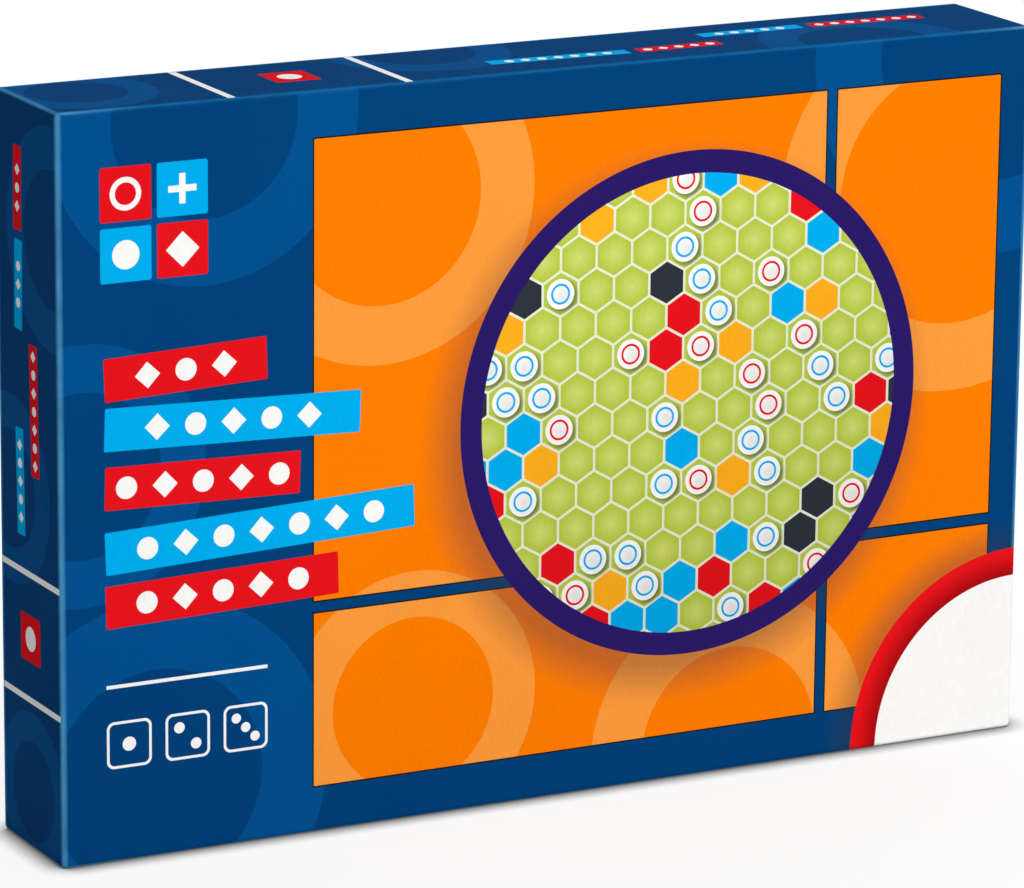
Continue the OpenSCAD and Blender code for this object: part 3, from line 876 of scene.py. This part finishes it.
def paper_wrap(low, high, open_side, wall, box):
    """Paper over half a box: rounded outside, folded over the rim and glued down inside."""
    bm = open_box(low, high, open_side, box.edge_radius)
    for face in bm.faces:
        normal = face.normal
        if abs(normal.y) > 0.5:
            face.material_index = FACE
        else:
            face.material_index = LONG_WALL if abs(normal.z) > abs(normal.x) else SHORT_WALL
    rim = [edge for edge in bm.edges if edge.is_boundary]
    over = bmesh.ops.extrude_edge_only(bm, edges=rim)["geom"]
    draw_in(bm, parts_of(over, BMVert), low, high, wall)
    inner_rim = [edge for edge in parts_of(over, BMEdge) if edge.is_boundary]
    down = bmesh.ops.extrude_edge_only(bm, edges=inner_rim)["geom"]
    bmesh.ops.translate(bm, vec=(0, -open_side * box.turn_in, 0), verts=parts_of(down, BMVert))
    for face in parts_of(over + down, BMFace):
        face.material_index = TURN_IN
    round_off(bm, rim + inner_rim, SHEET_EDGE, segments=2)
    thicken(bm, open_side, box.sheet)
    return bm


def add_box_half(name, half, materials, open_side, box):
    """One half of the box: printed paper over greyboard with edges rounded to lie under it."""
    low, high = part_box(f"{half}_wrap")
    board_low, board_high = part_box(f"{half}_board")
    wall = board_low.x - low.x + box.greyboard + box.sheet
    bm = paper_wrap(low, high, open_side, wall, box)
    even_normals(add_piece(bm, name, materials, half, [f"{half}_wrap"]))
    bm = open_box(board_low, board_high, open_side, box.edge_radius - box.sheet)
    thicken(bm, open_side, box.greyboard)
    node = f"{half}_board"
    even_normals(add_piece(bm, f"grey_{node}", [greyboard_material(box)], half, [node]))


class LETTERGAME_OT_lid(Operator):
    """Print the lid and show its greyboard inside"""

    bl_idname = "lettergame.lid"
    bl_label = "Lid"

    def execute(self, context):
        box, _ = open_settings(context)
        long_wall = wall_material(
            "Cover long wall print", box, "X", half_stripe=1.4, stripes=(62, 126),
            rows=[
                (box.red, 94, 25, 8, 8, 0), (box.cyan, 190, 18, 26, 3.2, -1.5),
                (box.red, 236, 18, 16, 3.2, 1.5), (box.cyan, 272, 33, 20, 3.2, 1.5),
                (box.red, 318, 33, 22, 3.2, -1.5)],
            ghosts=[(150, 44, 26, 12), (300, 2, 30, 14), (20, 30, 22, 10)])
        short_wall = wall_material(
            "Cover short wall print", box, "Z", half_stripe=1.05, stripes=(51, 94),
            rows=[
                (box.red, 72, 25, 8, 8, 0), (box.cyan, 124, 32, 18, 3.2, 1.5),
                (box.red, 150, 20, 22, 3.2, 1.5), (box.cyan, 190, 32, 15, 3.2, -1.5),
                (box.red, 222, 32, 14, 3.2, -1.5)],
            ghosts=[(120, 40, 26, 12), (210, 4, 30, 14), (20, 24, 22, 10)], tucks=(7, 245))
        turn_in = plain_paper("Cover turn-in paper", box, LID_LOW, LID_HIGH, ghost=(180, 120, 60, 30))
        materials = [cover_material(box), long_wall, short_wall, turn_in]
        add_box_half("printed_lid", "lid", materials, BACK, box)
        return {"FINISHED"}


class LETTERGAME_OT_base(Operator):
    """Cover the base in printed paper and show its greyboard inside"""

    bl_idname = "lettergame.base"
    bl_label = "Base"

    def execute(self, context):
        box, _ = open_settings(context)
        wall = plain_paper("Base wall paper", box, BASE_LOW, BASE_HIGH, ghost=(180, 120, 150, 24))
        materials = [back_material(box), wall, wall, wall]
        add_box_half("papered_base", "base", materials, FRONT, box)
        return {"FINISHED"}


def softened_copy(node, radius):
    """Merged copy of a CAD node whose edges are rounded, as moulding leaves them."""
    bm = bmesh.new()
    bm.from_mesh(frame["nodes"][node].data)
    bmesh.ops.remove_doubles(bm, verts=bm.verts, dist=MERGE)
    bmesh.ops.dissolve_limit(
        bm, angle_limit=FLAT_ANGLE, use_dissolve_boundaries=False, verts=bm.verts, edges=bm.edges)
    sharp = [
        edge for edge in bm.edges if len(edge.link_faces) == 2 and edge.calc_face_angle() > SHARP_ANGLE]
    round_off(bm, sharp, radius, segments=3)
    return bm


class LETTERGAME_OT_tray(Operator):
    """Form the tray with rounded edges"""

    bl_idname = "lettergame.tray"
    bl_label = "Tray"

    def execute(self, context):
        _, game = open_settings(context)
        plastic = Surface("Formed tray sheet", specular=0.4)
        plastic.finish_plastic(game.tray, factor=0.9, rough_low=0.32, rough_high=0.44, scale=900)
        node = "insert_tray"
        bm = softened_copy(node, SHEET_EDGE)
        even_normals(add_piece(bm, "formed_tray", [plastic.material], "insert", [node]))
        return {"FINISHED"}


def fold_over(bm, start, crease, finish, axis, depth, steps):
    """Profile of a sheet folded in two: from its start to the crease, round it and forward to its finish."""
    tail = bm.verts.new(start)
    turn = bm.verts.new(crease)
    bm.edges.new((tail, turn))
    bent = bmesh.ops.spin(
        bm, geom=[turn], cent=(crease[0], depth, crease[2]), axis=axis, angle=math.pi, steps=steps)
    end = parts_of(bent["geom_last"], BMVert)[0]
    bm.edges.new((end, bm.verts.new((finish[0], end.co.y, finish[1]))))


def draw_out(bm, reach, thickness):
    """Draws a profile out into a sheet of some thickness."""
    drawn = bmesh.ops.extrude_edge_only(bm, edges=bm.edges[:])["geom"]
    bmesh.ops.translate(bm, vec=reach, verts=parts_of(drawn, BMVert))
    bmesh.ops.remove_doubles(bm, verts=bm.verts, dist=MERGE)
    bmesh.ops.recalc_face_normals(bm, faces=bm.faces)
    bmesh.ops.solidify(bm, geom=bm.faces[:], thickness=thickness)


class LETTERGAME_OT_leaflet(Operator):
    """Fold the sheet of rules"""

    bl_idname = "lettergame.leaflet"
    bl_label = "Leaflet"

    def execute(self, context):
        box, game = open_settings(context)
        low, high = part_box("rules_leaflet")
        middle = (low.y + high.y) / 2
        bm = bmesh.new()
        for reach in LEAFLET_REACHES:
            start = (high.x - LEAFLET_REAR - reach, middle + reach, low.z)
            crease = (low.x + LEAFLET_FOLD, middle + reach, low.z)
            finish = (high.x - LEAFLET_FRONT - reach, low.z)
            fold_over(bm, start, crease, finish, axis=(0, 0, 1), depth=middle, steps=4)
        draw_out(bm, (0, 0, high.z - low.z), LEAFLET_SHEET)
        paper = start_print("Leaflet paper", game.leaflet, low, specular=0.05)
        paper.paint(paper.tags((105, 134, 96, 5, 1)), box.blue)
        row = paper.over(paper.v, LINE_PITCH)
        lines = paper.near(paper.math("FRACT", row), 0.5, 0.11)
        columns = paper.tags((54, 66, 44, 54, 0.3), (156, 66, 44, 54, 0.3))
        stretch = paper.join(paper.times(paper.u, 0.05), paper.math("FLOOR", row))
        ragged = paper.above(paper.noise(stretch, scale=9), 0.42)
        paper.paint(paper.times(paper.times(lines, columns), ragged), LEAFLET_INK, strength=0.55)
        paper.finish_paper(paper.wear(low, high, LEAFLET_WEAR), game.leaflet, scale=900)
        add_piece(bm, "folded_leaflet", [paper.material], "leaflet", ["rules_leaflet"])
        return {"FINISHED"}


def lower_place(nodes):
    """Millimetres across and along the open board, for its lower half."""
    place = nodes.millimetres(BOARD_LOW)
    return place["X"], place["Z"]


def upper_place(nodes):
    """The same for the upper half, which lies folded over the lower one."""
    place = nodes.millimetres(Vector((BOARD_LOW.x, 0, 2 * FOLD_HEIGHT - BOARD_LOW.z)))
    return place["X"], nodes.times(place["Z"], -1.0)


def tape_place(nodes):
    """The same for the tape over the fold, from its own map."""
    spot = nodes.add("ShaderNodeUVMap", uv_map=TAPE_MAP)
    place = nodes.split(nodes.scale(spot.outputs[0], MILLIMETRES))
    return place["X"], place["Y"]


def board_print_material(name, board_place):
    """Linen print of one board panel, from where its points lie on the open board."""
    linen = Surface(name)
    across, along = board_place(linen)
    colour = linen.place("Board Print", across=across, along=along)["Color"]
    grain = linen.place("Paper Grain", position=linen.position(), scale=2400)
    weave = linen.add("ShaderNodeTexWave", {"Vector": linen.position(), "Scale": 900, "Distortion": 1.5})
    height = linen.plus(grain["Height"], linen.times(weave.outputs["Fac"], 0.6))
    linen.varnish(grain["Tone"])
    woven = linen.scale(colour, linen.spread(grain["Tone"], 0.95, 1.04))
    linen.finish(woven, linen.spread(grain["Tone"], 0.4, 0.55), height, strength=0.3, depth=LINEN_GRAIN)
    return linen.material


def backing_material(box):
    """Paper on the back of the game board: faint rings on navy."""
    paper = start_print("Board backing paper", box.navy, BOARD_LOW)
    paper.paint(paper.rings((90, 60, 60, 28), (280, 180, 74, 32)), box.blue)
    wear = paper.wear(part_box("board_upper_back")[0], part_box("board_lower_back")[1], BOARD_WEAR)
    paper.finish_paper(paper.times(wear, 0.5), box.rubbed_and_highlight, scale=900)
    return paper.material


def dress(node, material):
    """Gives a CAD node its finish."""
    slots = frame["nodes"][node].data.materials
    slots.clear()
    slots.append(material)


def wrap_board_half(body, open_side, backing, box):
    """Backing paper turned round the edges of one half of the board, over its greyboard core."""
    core_low, core_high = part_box(f"{body}_core")
    back_low, back_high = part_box(f"{body}_back")
    low = Vector(map(min, core_low, back_low))
    high = Vector(map(max, core_high, back_high))
    bm = open_box(low, high, open_side, SHEET_EDGE)
    thicken(bm, open_side, box.sheet)
    even_normals(add_piece(bm, f"papered_{body}", [backing], body, [f"{body}_back"]))
    bm = softened_copy(f"{body}_core", SHEET_EDGE)
    draw_in(bm, bm.verts, core_low, core_high, box.sheet)
    grey = [greyboard_material(box)]
    even_normals(add_piece(bm, f"grey_{body}", grey, body, [f"{body}_core"]))


class LETTERGAME_OT_board(Operator):
    """Print the folding board and tape its fold"""

    bl_idname = "lettergame.board"
    bl_label = "Folding board"

    def execute(self, context):
        box, _ = open_settings(context)
        dress("board_lower_face", board_print_material("Board print lower half", lower_place))
        dress("board_upper_face", board_print_material("Board print upper half", upper_place))
        backing = backing_material(box)
        wrap_board_half("board_lower", FRONT, backing, box)
        wrap_board_half("board_upper", BACK, backing, box)
        low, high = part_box("board_hinge_tape")
        bm = bmesh.new()
        start = (low.x, FOLD_DEPTH + TAPE_REACH, low.z)
        crease = (low.x, FOLD_DEPTH + TAPE_REACH, FOLD_HEIGHT)
        fold_over(bm, start, crease, (low.x, low.z), axis=(1, 0, 0), depth=FOLD_DEPTH, steps=6)
        draw_out(bm, (high.x - low.x, 0, 0), TAPE_SHEET)
        places = bm.loops.layers.uv.new(TAPE_MAP)
        for face in bm.faces:
            lower = face.calc_center_median().y > FOLD_DEPTH
            for loop in face.loops:
                spot = loop.vert.co
                height = spot.z if lower else 2 * FOLD_HEIGHT - spot.z
                loop[places].uv = (spot.x - BOARD_LOW.x, height - BOARD_LOW.z)
        material = board_print_material("Board print over the fold", tape_place)
        tape = add_piece(bm, "fold_tape", [material], None, ["board_hinge_tape"])
        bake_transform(tape)
        return {"FINISHED"}


class LETTERGAME_OT_racks(Operator):
    """Mould the tile racks with rounded edges"""

    bl_idname = "lettergame.racks"
    bl_label = "Racks"

    def execute(self, context):
        _, game = open_settings(context)
        plastic = Surface("Rack plastic", specular=0.5)
        plastic.finish_plastic(game.rack, factor=1.5, rough_low=0.3, rough_high=0.42, depth=2 * FINE_GRAIN)
        for rack in ("rack_1", "rack_2", "rack_3", "rack_4"):
            bm = softened_copy(rack, game.soft_edge)
            even_normals(add_piece(bm, f"moulded_{rack}", [plastic.material], rack, [rack]))
        return {"FINISHED"}


def rounded_square(bm, width, corner, level):
    """Square face with round corners that looks to the front, at a level in front of the tile's back."""
    before = set(bm.faces)
    turn = Matrix.Translation((0, -level, 0)) @ Matrix.Rotation(math.pi / 2, 4, "X")
    made = bmesh.ops.create_grid(bm, x_segments=1, y_segments=1, size=width / 2, matrix=turn)
    round_off(bm, made["verts"], corner, segments=3, affect="VERTICES")
    return [face for face in bm.faces if face not in before][0]


def tile_mesh():
    """One tile: hollow back, round corners, soft shoulder and a raised pad, with its back at the origin."""
    hollow = PAD + 0.0006
    soft = TILE - 0.0006
    top = TILE_THICK + PAD_HEIGHT
    # Width, corner radius and level of each outline, from the hollow's floor round to the pad's top
    outlines = [
        (hollow, 0.0035, PAD_HEIGHT + 0.0003), (hollow, 0.0035, 0.00005), (soft, 0.0039, 0.0),
        (TILE, 0.0042, 0.0003), (TILE, 0.0042, TILE_THICK - 0.0011), (soft, 0.0039, TILE_THICK - 0.0003),
        (TILE - 0.002, 0.0034, TILE_THICK - 0.00005), (PAD + 0.0002, 0.0033, TILE_THICK),
        (PAD, 0.0032, top - 0.0004), (PAD - 0.0008, 0.0028, top)]
    bm = bmesh.new()
    loops = []
    for number, outline in enumerate(outlines):
        face = rounded_square(bm, *outline)
        loops.append(list(face.edges))
        if 0 < number < len(outlines) - 1:
            bmesh.ops.delete(bm, geom=[face], context="FACES_ONLY")
    for first, second in zip(loops, loops[1:]):
        bmesh.ops.bridge_loops(bm, edges=first + second)
    bmesh.ops.recalc_face_normals(bm, faces=bm.faces)
    mesh = bpy.data.meshes.new("tile")
    bm.to_mesh(mesh)
    bm.free()
    return mesh


def letter_mesh(letter, game):
    """One letter as a thin printed layer, upright and facing the front, with its middle at the origin."""
    curve = bpy.data.curves.new("letter", "FONT")
    curve.body = letter
    curve.size = game.letter_size
    curve.resolution_u = 4
    text = bpy.data.objects.new("letter", curve)
    bpy.context.scene.collection.objects.link(text)
    bpy.context.view_layer.update()
    mesh = bpy.data.meshes.new_from_object(text.evaluated_get(bpy.context.evaluated_depsgraph_get()))
    bpy.data.objects.remove(text)
    bpy.data.curves.remove(curve)
    bm = bmesh.new()
    bm.from_mesh(mesh)
    # Points that nearly meet and slivers would fold over when the strokes grow
    bmesh.ops.remove_doubles(bm, verts=bm.verts, dist=LETTER_MERGE)
    for _ in range(2):
        bmesh.ops.dissolve_degenerate(bm, dist=LETTER_SLIVER, edges=bm.edges)
    bmesh.ops.dissolve_limit(bm, angle_limit=FLAT_ANGLE, verts=bm.verts, edges=bm.edges)
    grown = bmesh.ops.inset_region(
        bm, faces=bm.faces[:], thickness=-game.letter_weight, use_boundary=True, use_even_offset=True)
    bmesh.ops.delete(bm, geom=grown["faces"], context="FACES")
    bmesh.ops.solidify(bm, geom=bm.faces[:], thickness=INK_LAYER)
    spans = [[vertex.co[axis] for vertex in bm.verts] for axis in range(3)]
    middle = Vector([(min(span) + max(span)) / 2 for span in spans])
    bmesh.ops.translate(bm, vec=-middle, verts=bm.verts)
    bmesh.ops.rotate(bm, cent=(0, 0, 0), matrix=Matrix.Rotation(math.pi / 2, 3, "X"), verts=bm.verts)
    bmesh.ops.recalc_face_normals(bm, faces=bm.faces)
    bm.to_mesh(mesh)
    bm.free()
    return mesh


def stack_copies(mesh, spots):
    """bmesh that holds a copy of a mesh at each spot."""
    bm = bmesh.new()
    for spot in spots:
        before = len(bm.verts)
        bm.from_mesh(mesh)
        bm.verts.ensure_lookup_table()
        bmesh.ops.translate(bm, vec=spot, verts=bm.verts[before:])
    return bm


class LETTERGAME_OT_tiles(Operator):
    """Mould the stacking tiles and print their letters"""

    bl_idname = "lettergame.tiles"
    bl_label = "Letter tiles"

    def execute(self, context):
        _, game = open_settings(context)
        plastic = Surface("Tile plastic", specular=0.5)
        plastic.finish_plastic(game.tile, factor=0.95, rough_low=0.28, rough_high=0.4)
        printed = Surface("Letter ink", specular=0.4)
        printed.finish_plastic(game.letter, factor=1.6, rough_low=0.4, rough_high=0.55)
        tile = tile_mesh()
        lift = Vector((0, -(TILE_THICK + PAD_HEIGHT), 0))
        rows = frame["record"]["behaviour"]["bodies"]
        for kind in (*LETTERS, "blank"):
            node = f"tiles_{kind}"
            low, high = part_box(node)
            row = [body for body, members in rows.items() if node in members][0]
            centre = (low + high) / 2
            if kind == "blank":
                stacks = zip((low.x + TILE / 2, high.x - TILE / 2), BLANK_STACKS)
            else:
                stacks = [(centre.x, round((high.y - low.y - PAD_HEIGHT) / TILE_STEP))]
            spots = [
                Vector((x, high.y - level * TILE_STEP, centre.z))
                for x, count in stacks for level in range(count)]
            bm = stack_copies(tile, spots)
            even_normals(add_piece(bm, f"moulded_{node}", [plastic.material], row, [node]))
            if kind != "blank":
                mesh = letter_mesh(kind.upper(), game)
                bm = stack_copies(mesh, [spot + lift for spot in spots])
                add_piece(bm, f"letters_{kind}", [printed.material], row, [])
                bpy.data.meshes.remove(mesh)
        bpy.data.meshes.remove(tile)
        return {"FINISHED"}


def seen_rays(nodes):
    """Mask of the rays that show the plain background: those of the camera, of gloss and of glass."""
    path = nodes.add("ShaderNodeLightPath").outputs
    return nodes.either(path["Is Camera Ray"], path["Is Glossy Ray"], path["Is Transmission Ray"])


def cleared_nodes(owner):
    """Empty node tree of a material or a world."""
    owner.use_nodes = True
    owner.node_tree.nodes.clear()
    return Nodes(owner.node_tree)


def add_floor(studio):
    """White floor that keeps the object's shadow, with painted shade round its foot."""
    bm = bmesh.new()
    bmesh.ops.create_grid(bm, x_segments=2, y_segments=2, size=FLOOR)
    floor = link_mesh(bm, "floor")
    material = bpy.data.materials.new("Studio floor")
    nodes = cleared_nodes(material)
    seen = seen_rays(nodes)
    away = nodes.vector("LENGTH", nodes.position())
    white = nodes.times(seen, nodes.ramp(away, WHITE_FROM, WHITE_FULL, studio.floor_glow, 1.0))
    matt = nodes.add("ShaderNodeBsdfDiffuse", {"Color": nodes.ramp(seen, 0, 1, studio.floor_tone, 1.0)})
    # Painted shade round the foot: ambient occlusion darkens the floor's plain white glow where the object stands
    foot = nodes.add("ShaderNodeAmbientOcclusion", {"Distance": CONTACT_REACH}, samples=16)
    tone = nodes.ramp(foot.outputs["AO"], CONTACT_OPEN, 1.0, studio.painted_contact_shade, 1.0)
    glow = nodes.add("ShaderNodeEmission", {"Color": tone, "Strength": 1.0})
    both = nodes.add("ShaderNodeMixShader", (white, matt.outputs[0], glow.outputs[0]))
    nodes.add("ShaderNodeOutputMaterial", {"Surface": both.outputs[0]})
    floor.data.materials.append(material)


def add_sky(scene, studio):
    """Even light from all round, which is seen as plain white."""
    scene.world = bpy.data.worlds.new("Studio white")
    nodes = cleared_nodes(scene.world)
    strength = nodes.ramp(seen_rays(nodes), 0, 1, studio.sky, 1.0)
    sky = nodes.add("ShaderNodeBackground", {"Color": ONE, "Strength": strength})
    nodes.add("ShaderNodeOutputWorld", {"Surface": sky.outputs[0]})


def add_lamp(scene, name, power, side, mirrored):
    """Large soft light that is aimed at the object. Gloss shows it only if it is mirrored."""
    aim = (CAD_BOX[0] + CAD_BOX[1]) / 2
    lamp = bpy.data.lights.new(name, "AREA")
    lamp.shape = "RECTANGLE"
    lamp.size, lamp.size_y = LAMP_SIZE
    lamp.energy = power
    light = bpy.data.objects.new(name, lamp)
    light.visible_glossy = mirrored
    light.location = aim + side.normalized() * LAMP_DISTANCE
    light.rotation_euler = (aim - light.location).to_track_quat("-Z", "Y").to_euler()
    scene.collection.objects.link(light)


def add_camera(scene, studio):
    """Camera at the photograph's viewing angle."""
    lens = bpy.data.cameras.new("Camera")
    lens.sensor_fit = "HORIZONTAL"
    lens.sensor_width = 36
    lens.lens = studio.lens
    lens.clip_start = 0.05
    camera = bpy.data.objects.new("Camera", lens)
    turn = Matrix((AHEAD.cross(ABOVE), ABOVE, -AHEAD)).transposed().to_4x4()
    camera.matrix_world = Matrix.Translation(CAMERA) @ turn
    scene.collection.objects.link(camera)
    scene.camera = camera


class LETTERGAME_OT_stage(Operator):
    """Set the floor, the light and the camera"""

    bl_idname = "lettergame.stage"
    bl_label = "Stage"

    def execute(self, context):
        scene = context.scene
        studio = scene.letter_game_studio
        scene.view_settings.view_transform = "Standard"
        add_floor(studio)
        add_sky(scene, studio)
        add_lamp(scene, "Key light", studio.key_power, KEY_SIDE, mirrored=True)
        add_lamp(scene, "Fill light", studio.fill_power, FILL_SIDE, mirrored=False)
        add_camera(scene, studio)
        return {"FINISHED"}


OPERATORS = (
    LETTERGAME_OT_lid, LETTERGAME_OT_base, LETTERGAME_OT_tray, LETTERGAME_OT_leaflet, LETTERGAME_OT_board,
    LETTERGAME_OT_racks, LETTERGAME_OT_tiles, LETTERGAME_OT_stage)


class LETTERGAME_PT_panel(Panel):
    """Settings and steps of the boxed letter game"""

    bl_idname = "LETTERGAME_PT_panel"
    bl_label = "Letter Game"
    bl_space_type = "VIEW_3D"
    bl_region_type = "UI"
    bl_category = "Letter Game"

    def draw(self, context):
        scene = context.scene
        for settings in (scene.letter_game_box, scene.letter_game_pieces, scene.letter_game_studio):
            column = self.layout.column(align=True)
            for name in settings.bl_rna.properties.keys():
                if name not in ("name", "rna_type"):
                    column.prop(settings, name)
        for operator in OPERATORS:
            self.layout.operator(operator.bl_idname)


CLASSES = (BoxSettings, GameSettings, StudioSettings, *OPERATORS, LETTERGAME_PT_panel)


def register():
    for listed in CLASSES:
        bpy.utils.register_class(listed)
    bpy.types.Scene.letter_game_box = PointerProperty(type=BoxSettings)
    bpy.types.Scene.letter_game_pieces = PointerProperty(type=GameSettings)
    bpy.types.Scene.letter_game_studio = PointerProperty(type=StudioSettings)


def unregister():
    del bpy.types.Scene.letter_game_studio
    del bpy.types.Scene.letter_game_pieces
    del bpy.types.Scene.letter_game_box
    for listed in reversed(CLASSES):
        bpy.utils.unregister_class(listed)


def main():
    register()
    bpy.ops.lettergame.lid()
    bpy.ops.lettergame.base()
    bpy.ops.lettergame.tray()
    bpy.ops.lettergame.leaflet()
    bpy.ops.lettergame.board()
    bpy.ops.lettergame.racks()
    bpy.ops.lettergame.tiles()
    bpy.ops.lettergame.stage()


if __name__ == "__main__":
    main()
